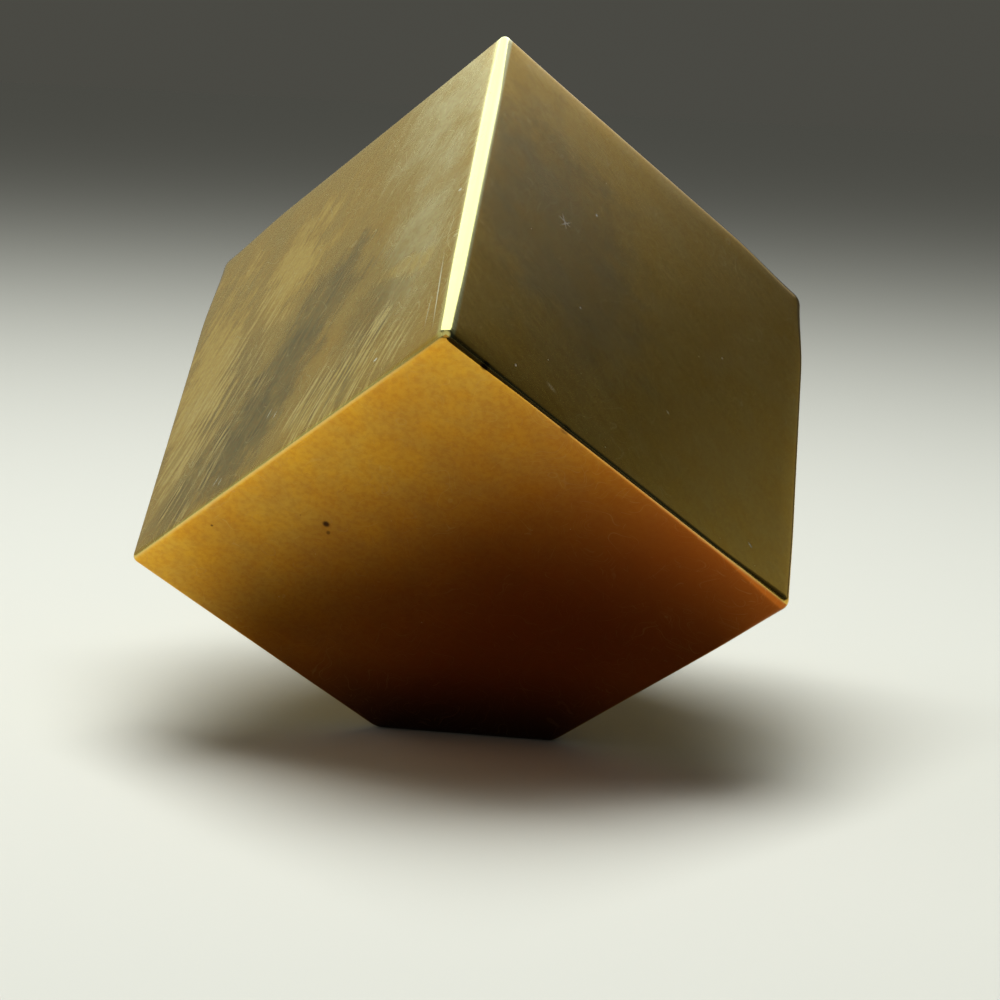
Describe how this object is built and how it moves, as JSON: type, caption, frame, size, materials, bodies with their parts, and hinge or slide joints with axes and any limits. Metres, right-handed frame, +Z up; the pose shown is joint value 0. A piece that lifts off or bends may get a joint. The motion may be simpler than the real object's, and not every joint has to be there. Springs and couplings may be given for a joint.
{
  "type": "corner-standing brass cube",
  "caption": "Solid brass cube with eased edges, one corner cut off flat so that it stands on the cut with its long diagonal upright.",
  "frame": {"origin": "middle of the flat foot, on the surface that the cube stands on", "axes": "+Z up along the cube's long diagonal, from the cut corner to the top corner; -Y towards the upper front corner, where an edge from the top ends; +X to the right seen from the front"},
  "size_m": [0.035, 0.04, 0.0387],
  "materials": {
    "brass": "hand-polished satin brass with brush streaks, light cloudy tarnish, fine scratches and brighter worn edges"
  },
  "bodies": {
    "root": {"brass_cube": "brass"}
  },
  "joints": []
}
